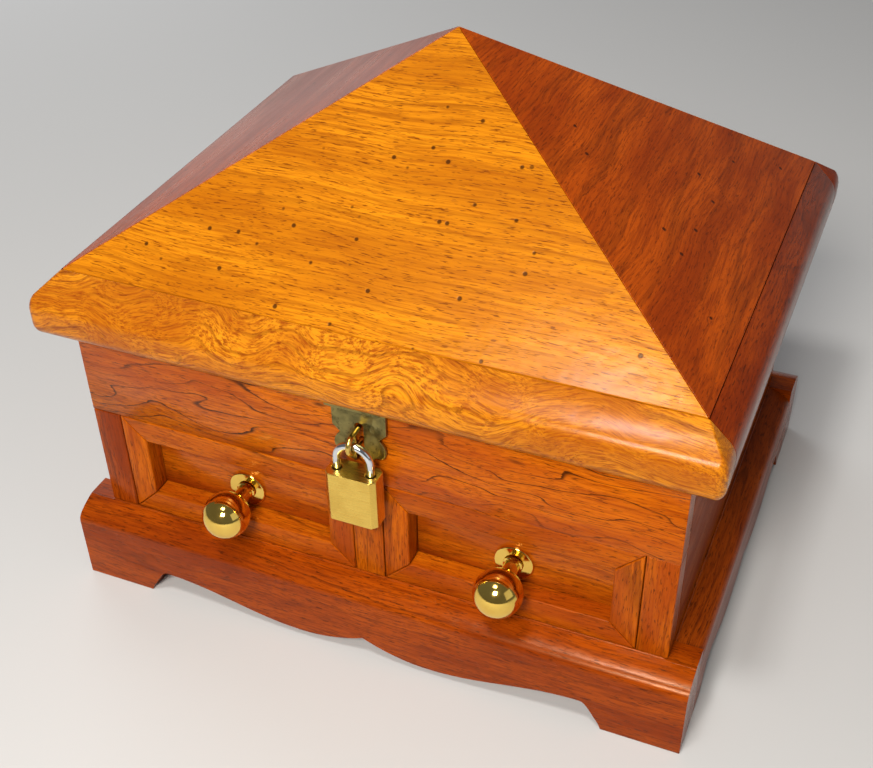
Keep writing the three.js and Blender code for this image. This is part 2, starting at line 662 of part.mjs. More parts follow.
// Butt hinge: two outer knuckles on the case leaf, the middle one on the lid leaf.
function addHinge(side, centreX) {
  const half = HINGE_LENGTH / 2;
  const third = HINGE_LENGTH / 6;
  const middle = [centreX - third + KNUCKLE_GAP, centreX + third - KNUCKLE_GAP];
  const outers = [[centreX - half, centreX - third], [centreX + third, centreX + half]];
  const room = KNUCKLE_RADIUS + KNUCKLE_GAP;
  const knuckle = ([x0, x1]) => cylinderX(KNUCKLE_RADIUS, x0, x1, hingeY, hingeZ);
  const holeRadius = PIN_RADIUS + PIN_CLEARANCE;
  const hole = cylinderX(holeRadius, centreX - half - 1, centreX + half + 1, hingeY, hingeZ);

  const leafX = [centreX - half, centreX + half];
  const leafY = CASE_DEPTH + GLUE_GAP;
  const lowerPlate = block(leafX, [leafY, leafY + LEAF_THICKNESS], [hingeZ - LOWER_LEAF_HEIGHT, hingeZ]);
  const middleRoom = cylinderX(room, centreX - third, centreX + third, hingeY, hingeZ);
  const lower = cut(join(lowerPlate, ...outers.map(knuckle)), middleRoom, hole);
  addPiece(`hinge_leaf_lower_${side}`, lower, oldBrass);

  const leafZ = lidBottom - GLUE_GAP;
  const upperPlate = block(leafX, [hingeY, hingeY + UPPER_LEAF_DEPTH], [leafZ - LEAF_THICKNESS, leafZ]);
  const outerRooms = outers.map(([x0, x1]) => (
    cylinderX(room, x0 - 1, x1 + 1, hingeY, hingeZ)
  ));
  const upper = cut(join(cut(upperPlate, ...outerRooms), knuckle(middle)), hole);
  addPiece(`hinge_leaf_upper_${side}`, upper, oldBrass);

  const pin = cylinderX(PIN_RADIUS, centreX - half, centreX + half, hingeY, hingeZ, 16);
  addPiece(`hinge_pin_${side}`, pin, oldBrass);
}

// ---- hasp, staple and padlock ----------------------------------------------------

// Outline of the fork's right side, from the shoulder down to the middle of its end.
function forkEdge(bottom) {
  const curveSteps = 4;
  const spot = ([inward, up]) => [HASP_WIDTH / 2 - inward, bottom + up];
  const { shoulder, notch, lobeTop, lobe, lobeBottom, hollow, toe } = HASP_FORK;
  const edge = new THREE.Path();
  edge.moveTo(...spot(shoulder));
  edge.lineTo(...spot(notch));
  edge.lineTo(...spot(lobeTop));
  edge.quadraticCurveTo(...spot(lobe), ...spot(lobeBottom));
  edge.quadraticCurveTo(...spot(hollow), ...spot(toe));
  edge.lineTo(0, bottom);
  return edge.getPoints(curveSteps);
}

// The plate hangs from the rim and ends in a fork that straddles the staple.
function addHasp() {
  const half = HASP_WIDTH / 2;
  const top = lidBottom - GLUE_GAP;
  const bottom = top - HASP_LENGTH;
  const rightEdge = forkEdge(bottom);
  const leftEdge = rightEdge.map((p) => new THREE.Vector2(-p.x, p.y)).reverse().slice(1);
  const corners = [new THREE.Vector2(-half, top), new THREE.Vector2(half, top)];
  const outline = new THREE.Shape([...corners, ...rightEdge, ...leftEdge]);
  const plate = new THREE.ExtrudeGeometry(outline, { depth: HASP_THICKNESS, bevelEnabled: false });
  plate.rotateX(Math.PI / 2).translate(0, -HASP_STANDOFF, 0);

  const flangeY = [-HASP_STANDOFF - HASP_FLANGE, -HASP_STANDOFF];
  const flange = block([-half, half], flangeY, [top - HASP_THICKNESS, top]);
  const slotTop = stapleTop + STAPLE_WIRE_RADIUS + HASP_SLOT_ROOM;
  const slotHalf = STAPLE_WIRE_RADIUS + HASP_SLOT_CLEARANCE;
  const slotY = [-HASP_STANDOFF - HASP_THICKNESS - 1, 0];
  const slot = block([-slotHalf, slotHalf], slotY, [bottom - 2, slotTop]);
  addPiece('hasp_plate', cut(join(plate, flange), slot), oldBrass);
}

function addStaple() {
  const tip = shacklePlane + SHACKLE_RADIUS + STAPLE_TIP_GAP + STAPLE_WIRE_RADIUS;
  const bendY = -(tip - STAPLE_SPACING / 2);
  const legStart = point(0, STAPLE_GRIP, stapleTop);
  const bendStart = point(0, bendY, stapleTop);
  const across = point(0, 0, -STAPLE_SPACING);
  const legEnd = point(0, STAPLE_GRIP, stapleBottom);
  const curve = new HoopCurve(legStart, bendStart, across, legEnd);
  addPiece('hasp_staple', wire(curve, STAPLE_WIRE_RADIUS, 10, 36), lockBrass);
}

function addPadlock() {
  const halfSpacing = SHACKLE_SPACING / 2;
  const bendZ = bowZ - halfSpacing;
  const y = -shacklePlane;
  const longEnd = point(-halfSpacing, y, lockTop - LONG_LEG);
  const bendStart = point(-halfSpacing, y, bendZ);
  const across = point(SHACKLE_SPACING, 0, 0);
  const shortEnd = point(halfSpacing, y, lockTop - SHORT_LEG);
  const curve = new HoopCurve(longEnd, bendStart, across, shortEnd);
  addPiece('padlock_shackle', wire(curve, SHACKLE_RADIUS, 12, 44), shackleSteel);

  const w = LOCK_WIDTH / 2;
  const t = LOCK_THICKNESS / 2;
  const chamfered = [[w - LOCK_CHAMFER, -t], [w, LOCK_CHAMFER - t]]; // one upright edge
  const rightSide = [...chamfered, ...chamfered.map(([x, depth]) => [x, -depth]).reverse()];
  const leftSide = rightSide.map(([x, depth]) => [-x, depth]).reverse();
  const corners = [...rightSide, ...leftSide].map(([x, depth]) => new THREE.Vector2(x, depth));
  const body = new THREE.ExtrudeGeometry(new THREE.Shape(corners), {
    depth: LOCK_HEIGHT,
    bevelEnabled: false,
  });
  body.translate(0, y, lockBottom);
  const legHole = (depth, x) => (
    cylinderZ(SHACKLE_RADIUS + LEG_CLEARANCE, lockTop - depth - LEG_END_ROOM, lockTop + 1, x, y)
  );
  const boreTop = lockBottom + PLUG_RECESS + PLUG_LENGTH + PLUG_END_ROOM;
  const bore = cylinderZ(PLUG_RADIUS + PLUG_CLEARANCE, lockBottom - 1, boreTop, 0, y);
  const holes = [legHole(LONG_LEG, -halfSpacing), legHole(SHORT_LEG, halfSpacing), bore];
  addPiece('padlock_body', cut(body, ...holes), lockBrass);

  const plugBottom = lockBottom + PLUG_RECESS;
  const plug = cylinderZ(PLUG_RADIUS, plugBottom, plugBottom + PLUG_LENGTH, 0, y);
  const keyY = [y - KEYWAY_HEIGHT / 2, y + KEYWAY_HEIGHT / 2];
  const keyZ = [plugBottom - 1, plugBottom + KEYWAY_DEPTH];
  const keyway = block([-KEYWAY_WIDTH / 2, KEYWAY_WIDTH / 2], keyY, keyZ);
  addPiece('padlock_plug', cut(plug, keyway), lockBrass);
}

// ---- assembly --------------------------------------------------------------------

addPlinth();
addCase();
addPartition();
for (const [side, centreX] of [['left', -drawerX], ['right', drawerX]]) {
  addDrawerFrame(side, centreX);
  addDrawer(side, centreX);
  addKnob(side, centreX);
}
addLid();
addHinge('left', -HINGE_POSITION);
addHinge('right', HINGE_POSITION);
addHasp();
addStaple();
addPadlock();

export default group;
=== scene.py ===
# A varnished hardwood keepsake box: scalloped plinth, two framed drawers with brass
# knobs, a pyramid lid with a bullnose rim, and a hasp closed by a small padlock.
import math

import bmesh
import bpy
from mathutils import Matrix, Vector


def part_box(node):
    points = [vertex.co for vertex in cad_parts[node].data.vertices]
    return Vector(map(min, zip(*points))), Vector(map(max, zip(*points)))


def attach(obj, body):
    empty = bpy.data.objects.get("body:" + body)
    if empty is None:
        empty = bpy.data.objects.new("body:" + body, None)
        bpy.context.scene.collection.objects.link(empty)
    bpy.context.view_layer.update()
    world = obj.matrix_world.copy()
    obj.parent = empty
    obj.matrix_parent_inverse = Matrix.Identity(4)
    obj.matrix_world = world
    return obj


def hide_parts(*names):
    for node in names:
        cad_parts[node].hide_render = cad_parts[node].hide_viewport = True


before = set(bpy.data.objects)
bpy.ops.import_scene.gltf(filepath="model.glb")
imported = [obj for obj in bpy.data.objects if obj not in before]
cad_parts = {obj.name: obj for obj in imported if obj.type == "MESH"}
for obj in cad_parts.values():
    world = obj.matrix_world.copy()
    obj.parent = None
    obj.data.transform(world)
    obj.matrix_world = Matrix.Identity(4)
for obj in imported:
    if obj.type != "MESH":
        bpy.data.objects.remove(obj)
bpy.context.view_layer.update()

MM = 0.001
ON_AXIS = 1e-6

# ---- places, in millimetres, from the front face of the case and the middle ----------

FRONT_SHIFT = Vector((0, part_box("top_rail")[0].y / MM, 0))


def limits(node):
    low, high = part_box(node)
    return low / MM - FRONT_SHIFT, high / MM - FRONT_SHIFT


def point(x, y, z):
    return Vector((x, y, z))


plinth_low, plinth_high = limits("plinth_front")
plinth_back = limits("plinth_back")[1].y
middle_y = (plinth_low.y + plinth_back) / 2

# plinth boards
PLINTH_DEPTH = 21
PLINTH_OVERHANG = 11  # from the case out to the plinth's face
PLINTH_FALL = 5  # of its top over the overhang
PLINTH_NOSE = 3.2  # where its top begins to round over, in from its face
PLINTH_NOSE_FALL = 0.8  # how far the nose reaches down the face, as a share of its width
VARNISH_BEAD = 0.6  # varnish gathered in the joint between plinth and case
FOOT_LENGTH = 31
FOOT_SWEEP = 9
FOOT_STEP = 5  # the foot's inner edge rises this high, nearly upright
ARCH_HEIGHT = 12.5
LOBE_DISTANCE = 28
LOBE_HEIGHT = 3.5
CUSP_HEIGHT = 10

# knobs
KNOB_RADIUS = 9.5
STEM_RADIUS = 3.2
ROSE_EDGE = 0.55

# hinges
KNUCKLE_RADIUS = 2.0
KNUCKLE_EDGE = 0.25
LEAF_THICKNESS = 1.0
HINGE_GAP = 0.3
HINGE_SCREW_SPACING = 8.5
OUTER_SCREW_HEIGHT = 4.2
MIDDLE_SCREW_HEIGHT = 7.6

# hasp and staple
HASP_THICKNESS = 1.2
HASP_SLOT_HALF = 1.7
HASP_SLOT_MARGIN = 0.9
HASP_SCREW_INSET = Vector((3.4, 2.7))
STAPLE_RADIUS = 1.0

# padlock
SHACKLE_RADIUS = 1.5
SHACKLE_HOLE_RADIUS = 1.9
LONG_LEG_HOLE = 16.5
SHORT_LEG_HOLE = 6
SHORT_LEG_DEPTH = 5.5
PLUG_HOLE_RADIUS = 3.5
PLUG_HOLE_DEPTH = 15
LOCK_CHAMFER = 2

# solids that make up one piece reach this far into each other
LAP = 0.1

# ---- mesh helpers ---------------------------------------------------------------------


def round_edges(piece, width, steps, sharp):
    """Rounds every edge sharper than an angle in degrees."""
    rounding = piece.modifiers.new("eased_edges", "BEVEL")
    rounding.width = width * MM
    rounding.segments = steps
    rounding.limit_method = "ANGLE"
    rounding.angle_limit = math.radians(sharp)
    rounding.harden_normals = True


def finish_piece(name, mesh, body, material, nodes, ease=0.0, steps=3, sharp=35):
    """Links a mesh as a piece on its body; ease rounds its edges by that many millimetres."""
    piece = bpy.data.objects.new(name, mesh)
    bpy.context.scene.collection.objects.link(piece)
    mesh.materials.clear()
    mesh.materials.append(material)
    mesh.shade_smooth()
    if ease:
        round_edges(piece, ease, steps, sharp)
    else:
        mesh.set_sharp_from_angle(angle=math.radians(sharp))
    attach(piece, body)
    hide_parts(*nodes)
    return piece


def to_mesh(name, bm):
    """Millimetres from the case front, into metres in the frame."""
    bmesh.ops.translate(bm, verts=bm.verts, vec=FRONT_SHIFT)
    bmesh.ops.scale(bm, verts=bm.verts, vec=(MM, MM, MM))
    bmesh.ops.recalc_face_normals(bm, faces=bm.faces)
    mesh = bpy.data.meshes.new(name)
    bm.to_mesh(mesh)
    bm.free()
    return mesh


def add_loft(bm, section, places):
    """Sweeps a closed flat outline through places and closes both ends."""
    rings = [[bm.verts.new(place(p)) for p in section] for place in places]
    count = len(section)
    for ring, following in zip(rings, rings[1:]):
        for i in range(count):
            j = (i + 1) % count
            bm.faces.new((ring[i], ring[j], following[j], following[i]))
    bm.faces.new(rings[0])
    bm.faces.new(list(reversed(rings[-1])))


def add_turned(bm, profile, origin, axis, sides=64):
    """Turns (radius, distance) pairs round an axis; the first and last radius are 0."""
    axis = axis.normalized()
    across = axis.orthogonal().normalized()
    upright = axis.cross(across)
    rings = []
    for radius, distance in profile:
        centre = origin + axis * distance
        if radius < ON_AXIS:
            rings.append([bm.verts.new(centre)])
            continue
        ring = []
        for i in range(sides):
            turn = 2 * math.pi * i / sides
            spoke = across * math.cos(turn) + upright * math.sin(turn)
            ring.append(bm.verts.new(centre + spoke * radius))
        rings.append(ring)
    for ring, following in zip(rings, rings[1:]):
        for i in range(sides):
            j = (i + 1) % sides
            corners = [ring[i % len(ring)], ring[j % len(ring)]]
            corners += [following[j % len(following)], following[i % len(following)]]
            unique = list(dict.fromkeys(corners))
            if len(unique) > 2:
                bm.faces.new(unique)


def add_wire(bm, path, radius, sides=20):
    """A round wire along a path of points, cut square at both ends."""
    tangents = []
    for i in range(len(path)):
        ahead = path[min(i + 1, len(path) - 1)]
        behind = path[max(i - 1, 0)]
        tangents.append((ahead - behind).normalized())
    across = tangents[0].orthogonal().normalized()
    rings = []
    for i, (spot, tangent) in enumerate(zip(path, tangents)):
        across = (across - tangent * across.dot(tangent)).normalized()
        upright = tangent.cross(across)
        ring = []
        for k in range(sides):
            turn = 2 * math.pi * k / sides
            spoke = across * math.cos(turn) + upright * math.sin(turn)
            ring.append(bm.verts.new(spot + spoke * radius))
        rings.append(ring)
    for ring, following in zip(rings, rings[1:]):
        for k in range(sides):
            j = (k + 1) % sides
            bm.faces.new((ring[k], ring[j], following[j], following[k]))
    bm.faces.new(rings[0])
    bm.faces.new(list(reversed(rings[-1])))


def hoop(start, bend_start, across, end, steps=40):
    """Points along a straight run, a half circle and a second straight run."""
    centre = bend_start + across / 2
    side = -across / 2
    forward = (bend_start - start).normalized() * side.length
    points = [start]
    for i in range(steps + 1):
        turn = math.pi * i / steps
        points.append(centre + side * math.cos(turn) + forward * math.sin(turn))
    points.append(end)
    return points


def add_plate(bm, outline, face_y, back_y):
    """A flat plate from its outline in x and z, between two depths."""
    places = [lambda p, y=y: point(p[0], y, p[1]) for y in (face_y, back_y)]
    add_loft(bm, outline, places)


def add_block(bm, low, high):
    """A box between two corners."""
    outline = [(low.x, low.z), (high.x, low.z), (high.x, high.z), (low.x, high.z)]
    add_plate(bm, outline, low.y, high.y)


def bend(start, control, end, steps):
    """Points of a quadratic curve after its start."""
    points = []
    for i in range(1, steps + 1):
        t = i / steps
        points.append(start * (1 - t) ** 2 + control * (2 * t * (1 - t)) + end * t * t)
    return points


def arc(centre_x, centre_z, radius, start, stop, steps):
    """Points of an arc in degrees, as (x, z) pairs."""
    points = []
    for i in range(steps + 1):
        turn = math.radians(start + (stop - start) * i / steps)
        points.append((centre_x + radius * math.cos(turn), centre_z + radius * math.sin(turn)))
    return points


# ---- materials ------------------------------------------------------------------------


def colour(code):
    """Linear colour from a #rrggbb code."""
    parts = [int(code[i:i + 2], 16) / 255 for i in (1, 3, 5)]
    linear = [c / 12.92 if c <= 0.04045 else ((c + 0.055) / 1.055) ** 2.4 for c in parts]
    return (*linear, 1)


class Nodes:
    """Short calls for building one material's node tree."""

    def __init__(self, name):
        self.material = bpy.data.materials.new(name)
        self.material.use_nodes = True
        self.tree = self.material.node_tree
        self.shader = self.tree.nodes["Principled BSDF"]

    def add(self, kind, inputs, **settings):
        made = self.tree.nodes.new(kind)
        for key, value in settings.items():
            setattr(made, key, value)
        for key, value in inputs.items():
            self.feed(made.inputs[key], value)
        return made

    def feed(self, socket, value):
        if isinstance(value, bpy.types.NodeSocket):
            self.tree.links.new(value, socket)
        else:
            socket.default_value = value

    def place(self):
        return self.add("ShaderNodeTexCoord", {}).outputs["Object"]

    def stretch(self, vector, per_metre, offset):
        inputs = {"Vector": vector, "Scale": per_metre, "Location": (offset, offset * 1.7, offset * 2.3)}
        return self.add("ShaderNodeMapping", inputs).outputs["Vector"]

    def noise(self, vector, scale=1.0, detail=2.0, roughness=0.5):
        inputs = {"Vector": vector, "Scale": scale, "Detail": detail, "Roughness": roughness}
        return self.add("ShaderNodeTexNoise", inputs).outputs["Fac"]

    def maths(self, operation, first, second=0.0, third=0.0):
        inputs = {0: first}
        if operation != "FRACT":
            inputs[1] = second
        if operation == "MULTIPLY_ADD":
            inputs[2] = third
        return self.add("ShaderNodeMath", inputs, operation=operation).outputs[0]

    def between(self, value, low, high, to_low=0.0, to_high=1.0):
        """Smooth step of a value from one range to another."""
        inputs = {"Value": value, "From Min": low, "From Max": high}
        inputs.update({"To Min": to_low, "To Max": to_high})
        made = self.add("ShaderNodeMapRange", inputs, interpolation_type="SMOOTHSTEP")
        return made.outputs["Result"]

    def vector(self, operation, inputs, output=0):
        return self.add("ShaderNodeVectorMath", inputs, operation=operation).outputs[output]

    def mix(self, factor, first, second):
        inputs = {0: factor, 6: first, 7: second}
        return self.add("ShaderNodeMix", inputs, data_type="RGBA").outputs[2]

    def bump(self, height, strength, distance, normal=None):
        inputs = {"Height": height, "Strength": strength, "Distance": distance}
        if normal is not None:
            inputs["Normal"] = normal
        return self.add("ShaderNodeBump", inputs).outputs["Normal"]

    def set(self, **values):
        for key, value in values.items():
            self.feed(self.shader.inputs[key.replace("_", " ")], value)


def grain_scale(axis, along, across):
    """Texture repeats per metre for features of these sizes in millimetres."""
    scale = [1 / (across * MM)] * 3
    scale["XYZ".index(axis)] = 1 / (along * MM)
    return tuple(scale)


def across_grain(axis, spacing):
    """Vector whose dot product with a place rises by one for each ring across the grain."""
    slope = [0.7 / (spacing * MM)] * 3
    slope["XYZ".index(axis)] = 0.0
    return tuple(slope)


WOODS = {}
PITS_PER_METRE = 125.0
PIT_COLOUR = "#2a0f04"


def drifted(n, place, seed, facts):
    """The place pushed about by a soft swirl, so that grain laid on it wanders."""
    inputs = {"Vector": n.stretch(place, (1, 1, 1), seed * 0.37), "Scale": facts["swirls"]}
    inputs.update({"Detail": 1.5, "Roughness": 0.45})
    swirl = n.add("ShaderNodeTexNoise", inputs).outputs["Color"]
    centred = n.vector("SUBTRACT", {0: swirl, 1: (0.5, 0.5, 0.5)})
    push = n.vector("SCALE", {0: centred, "Scale": facts["drift"] * MM})
    return n.vector("ADD", {0: place, 1: push})


def ring_lines(n, flow, loops, fibre, axis, facts):
    """Thin growth-ring lines, above 0 on a line and 0 between lines."""
    depth = n.vector("DOT_PRODUCT", {0: flow, 1: across_grain(axis, facts["ring"])}, "Value")
    wander = n.maths("MULTIPLY_ADD", fibre, 0.12, n.maths("MULTIPLY", loops, facts["loops"]))
    saw = n.maths("FRACT", n.maths("ADD", depth, wander))
    width = facts["line_width"]
    rise = n.between(saw, 1 - width, 1 - width * 0.3)
    fall = n.between(saw, 1.0, 1 - width * 0.2)
    return n.maths("MULTIPLY", n.maths("MULTIPLY", rise, fall), facts["line"])


def small_pits(n, place, seed, share):
    """A small round pit in the heart of a share of fine random cells."""
    inputs = {"Vector": n.stretch(place, (1, 1, 1), seed), "Scale": PITS_PER_METRE}
    cells = n.add("ShaderNodeTexVoronoi", inputs).outputs
    chosen = n.add("ShaderNodeSeparateColor", {"Color": cells["Color"]}).outputs[0]
    spot = n.between(cells["Distance"], 0.14, 0.07)
    return n.maths("MULTIPLY", spot, n.between(chosen, 1 - share, 1.01 - share))


def wood(look, axis, seed):
    """Wood of one look, with its grain along an axis; the seed picks the board."""
    key = f"{look}_{axis.lower()}_{seed}"
    if key in WOODS:
        return WOODS[key]
    facts = LOOKS[look]
    n = Nodes(key)
    place = n.place()
    flow = drifted(n, place, seed, facts)

    def grain(kind, shift, detail, roughness=0.5):
        sizes = grain_scale(axis, facts[f"{kind}_length"], facts[f"{kind}_width"])
        return n.noise(n.stretch(flow, sizes, seed * shift), detail=detail, roughness=roughness)

    fibre = grain("fibre", 1.31, 3, 0.65)
    pore = n.between(grain("pore", 5.03, 1), 0.6, 0.68)
    cloud = grain("cloud", 2.57, 3, 0.55)
    loops = grain("loop", 3.17, 1.5, 0.4)
    line = ring_lines(n, flow, loops, fibre, axis, facts)
    patchy = n.maths("MULTIPLY", line, n.between(cloud, 0.35, 0.6, 0.25, 1.0))
    streak = n.maths("MULTIPLY", n.between(fibre, 0.62, 0.3), facts["fibre"])

    tint = n.mix(n.between(cloud, 0.3, 0.7), colour(facts["deep"]), colour(facts["pale"]))
    tint = n.mix(streak, tint, colour(facts["streak"]))
    tint = n.mix(patchy, tint, colour(facts["dark"]))
    tint = n.mix(n.maths("MULTIPLY", pore, facts["pores"]), tint, colour(facts["dark"]))
    relief = n.maths("MULTIPLY_ADD", line, -0.5, n.maths("MULTIPLY", fibre, 0.4))
    relief = n.maths("MULTIPLY_ADD", pore, -0.6, relief)
    if facts["pits"]:
        pit = small_pits(n, place, seed, facts["pits"])
        tint = n.mix(n.maths("MULTIPLY", pit, 0.85), tint, colour(PIT_COLOUR))
        relief = n.maths("MULTIPLY_ADD", pit, -2.0, relief)

    varnish = n.bump(n.noise(place, scale=150, detail=1), 0.1, 0.0009)
    normal = n.bump(relief, 0.25, 0.00015, varnish)
    rough = n.between(cloud, 0.3, 0.7, facts["rough"] + 0.06, facts["rough"] - 0.04)
    n.set(Base_Color=tint, Roughness=rough, Normal=normal, IOR=1.36)
    n.set(Specular_IOR_Level=facts["shine"], Specular_Tint=(1.0, 0.55, 0.25, 1))
    n.set(Coat_Weight=facts["coat"], Coat_Roughness=0.14, Coat_IOR=1.3, Coat_Normal=varnish)
    WOODS[key] = n.material
    return n.material


def look(deep, pale, streak, dark, **facts):
    """One wood's colours and figure; lengths, widths, ring and drift are in millimetres.

    ring is the distance between ring lines, loops how many rings their loops span and
    swirls how many turns of the drift fit in a metre. fibre, pores and line say how
    strongly each of those shows, and pits is the share of places that have one.
    """
    usual = dict(
        ring=6.0, loops=3.0, loop_length=120, loop_width=16, line_width=0.12, line=0.8,
        swirls=14, drift=10, fibre_length=14, fibre_width=0.8, fibre=0.75,
        pore_length=4.0, pore_width=0.42, pores=0.6, cloud_length=80, cloud_width=16, pits=0.0,
        rough=0.3, coat=0.2, shine=0.5,
    )
    usual.update(facts, deep=deep, pale=pale, streak=streak, dark=dark)
    return usual


LOOKS = {
    "rail": look(
        "#a44304", "#ca6808", "#883203", "#2a0a01", ring=4.6, loops=4.6, loop_length=46, loop_width=14,
        line_width=0.12, line=0.95, coat=0.1, shine=0.4,
    ),
    "case": look(
        "#9a3f04", "#be6007", "#7e2e03", "#2a0a01", line=0.45, ring=8, coat=0.05, shine=0.3,
    ),
    # Painted shade: a darker copy of the case wood for the side boards, which stand in shade.
    "side": look(
        "#8a3403", "#a84e06", "#702602", "#240801", line=0.45, ring=8, coat=0.0, shine=0.06, rough=0.4,
    ),
    "panel": look("#9c4004", "#c46308", "#7e2e03", "#2a0a01", line=0.35, ring=9),
    "plinth": look(
        "#7e2c02", "#a24505", "#662102", "#200601", line=0.4, ring=8, loop_length=200,
        coat=0.12, shine=0.35, rough=0.24,
    ),
    # Painted shade: a darker copy of the plinth wood for its side boards, which stand in shade; it has
    # no coat.
    "plinth_side_shaded": look(
        "#7a2c02", "#984105", "#622002", "#200601", line=0.4, ring=8, loop_length=200,
        coat=0.0, shine=0.25,
    ),
    "rim": look(
        "#b0600a", "#da8a18", "#93440a", "#561b03", swirls=26, drift=34, fibre_length=9, fibre_width=0.8,
        fibre=0.95, ring=4, loops=4, line=0.45, line_width=0.3, pores=0.5, coat=0.25, shine=0.4,
    ),
    "rim_side": look(
        "#7a2803", "#9a3c05", "#601c02", "#240801", drift=12, fibre_length=12, line=0.3, coat=0.3,
    ),
    "roof_gold": look(
        "#b06204", "#d28110", "#9a5006", "#5e2403", ring=6, loops=4, loop_length=260, loop_width=26,
        line=0.22, line_width=0.4, fibre_length=22, fibre=0.8, pores=0.75, pits=0.8, drift=8,
    ),
    "roof_brown": look(
        "#8c3203", "#b24b06", "#6e2402", "#280a01", ring=9, loops=5, loop_length=220, loop_width=22,
        line=0.25, line_width=0.35, fibre_length=20, fibre=0.65, pores=0.45, pits=0.25,
    ),
    "inner": look(
        "#a8662e", "#c58a4c", "#955524", "#5f2f10", line=0.3, line_width=0.3, fibre=0.6, pores=0.4,
        rough=0.55, coat=0.0,
    ),
}


def metal(name, tint, worn, rough, wear, brushed=None, marks=0.0):
    """A metal; brushed names the axis that the brush strokes run along."""
    n = Nodes(name)
    place = n.place()
    haze = n.noise(place, scale=260, detail=4, roughness=0.6)
    patch = n.noise(place, scale=95, detail=3, roughness=0.6)
    tinted = n.mix(n.maths("MULTIPLY", n.between(patch, 0.42, 0.66), wear), colour(tint), colour(worn))
    roughness = n.between(haze, 0.3, 0.75, rough, rough + 0.09)
    normal = n.bump(haze, 0.05, 0.00008)
    if brushed:
        strokes = n.noise(n.stretch(place, grain_scale(brushed, 9, 0.09), 3.1), detail=2)
        tinted = n.mix(n.maths("MULTIPLY", n.between(strokes, 0.35, 0.7), 0.35), tinted, colour(worn))
        roughness = n.between(strokes, 0.3, 0.7, rough, rough + 0.12)
        normal = n.bump(strokes, 0.25, 0.00006, normal)
    if marks:
        stain = n.between(n.noise(place, scale=420, detail=5, roughness=0.75), 0.52, 0.66)
        tinted = n.mix(n.maths("MULTIPLY", stain, marks), tinted, colour("#3a3320"))
        normal = n.bump(stain, 0.25, 0.0001, normal)
    n.set(Base_Color=tinted, Metallic=1.0, Roughness=roughness, Normal=normal)
    return n.material


knob_brass = metal("knob_brass", "#f4cf68", "#dda640", 0.06, 0.3)
lock_brass = metal("lock_brass", "#f2cf68", "#cca245", 0.22, 0.3, brushed="X")
wire_brass = metal("wire_brass", "#e6c568", "#a8853a", 0.16, 0.5)
old_brass = metal("old_brass", "#8f8452", "#4c4a30", 0.28, 0.8, marks=0.7)
steel = metal("steel", "#dfe2e6", "#c3c7cd", 0.05, 0.3)

# ---- boards whose CAD shape is right: the same shape with eased edges -------------------


def eased(node, body, material, ease):
    """The CAD node's own solid, with its flat faces made whole and its edges rounded."""
    bm = bmesh.new()
    bm.from_mesh(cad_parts[node].data)
    bmesh.ops.remove_doubles(bm, verts=bm.verts, dist=1e-6)
    bmesh.ops.dissolve_limit(bm, angle_limit=math.radians(1), verts=bm.verts, edges=bm.edges)
    mesh = bpy.data.meshes.new(f"{node}_eased")
    bm.to_mesh(mesh)
    bm.free()
    finish_piece(f"{node}_eased", mesh, body, material, [node], ease)


def add_case():
    eased("top_rail", "case", wood("rail", "X", 1), 0.8)
    eased("case_back", "case", wood("case", "X", 2), 0.8)
    # The side boards take the painted-shade copy of the case wood.
    eased("case_left", "case", wood("side", "Y", 3), 0.8)
    eased("case_right", "case", wood("side", "Y", 4), 0.8)
    eased("end_stile_left", "case", wood("plinth", "Z", 5), 0.6)
    eased("end_stile_right", "case", wood("case", "Z", 6), 0.6)
    eased("drawer_partition", "case", wood("case", "Z", 7), 0.5)
    for seed, node in enumerate(("case_bottom", "compartment_floor")):
        eased(node, "case", wood("inner", "X", 20 + seed), 0.4)
    for side in ("left", "right"):
        for place in ("inner", "outer"):
            eased(f"drawer_guide_{side}_{place}", "case", wood("inner", "Y", 23), 0.4)


def add_drawer_frames():
    for number, side in enumerate(("left", "right")):
        for shift, place in enumerate(("top", "bottom")):
            board = wood("case", "X", 8 + 2 * number + shift)
            eased(f"{side}_frame_{place}", "case", board, 0.7)
        for shift, place in enumerate(("left", "right")):
            board = wood("case", "Z", 12 + 2 * number + shift)
            eased(f"{side}_frame_{place}", "case", board, 0.7)


def add_drawers():
    for number, side in enumerate(("left", "right")):
        body = f"{side}_drawer"
        eased(f"{side}_drawer_front", body, wood("panel", "X", 16 + number), 0.5)
        for place in ("left", "right"):
            eased(f"{side}_drawer_side_{place}", body, wood("inner", "Y", 25), 0.4)
        eased(f"{side}_drawer_back", body, wood("inner", "X", 26), 0.4)
        eased(f"{side}_drawer_bottom", body, wood("inner", "Y", 27), 0.3)


# ---- plinth -----------------------------------------------------------------------------


def scallop(distance, half_length):
    """Height of a plinth board's lower edge at a distance from its middle."""
    foot = half_length - FOOT_LENGTH
    arch = foot - FOOT_SWEEP
    away = abs(distance)

    def blend(t):
        return (1 - math.cos(math.pi * t)) / 2

    if away >= foot:
        return 0
    if away >= arch:
        run = (foot - away) / FOOT_SWEEP
        upright = math.sqrt(1 - (1 - run) ** 2)
        return FOOT_STEP * upright + (ARCH_HEIGHT - FOOT_STEP) * blend(run)
    if away >= LOBE_DISTANCE:
        rise = blend((away - LOBE_DISTANCE) / (arch - LOBE_DISTANCE))
        return LOBE_HEIGHT + (ARCH_HEIGHT - LOBE_HEIGHT) * rise
    return LOBE_HEIGHT + (CUSP_HEIGHT - LOBE_HEIGHT) * (1 - away / LOBE_DISTANCE) ** 2


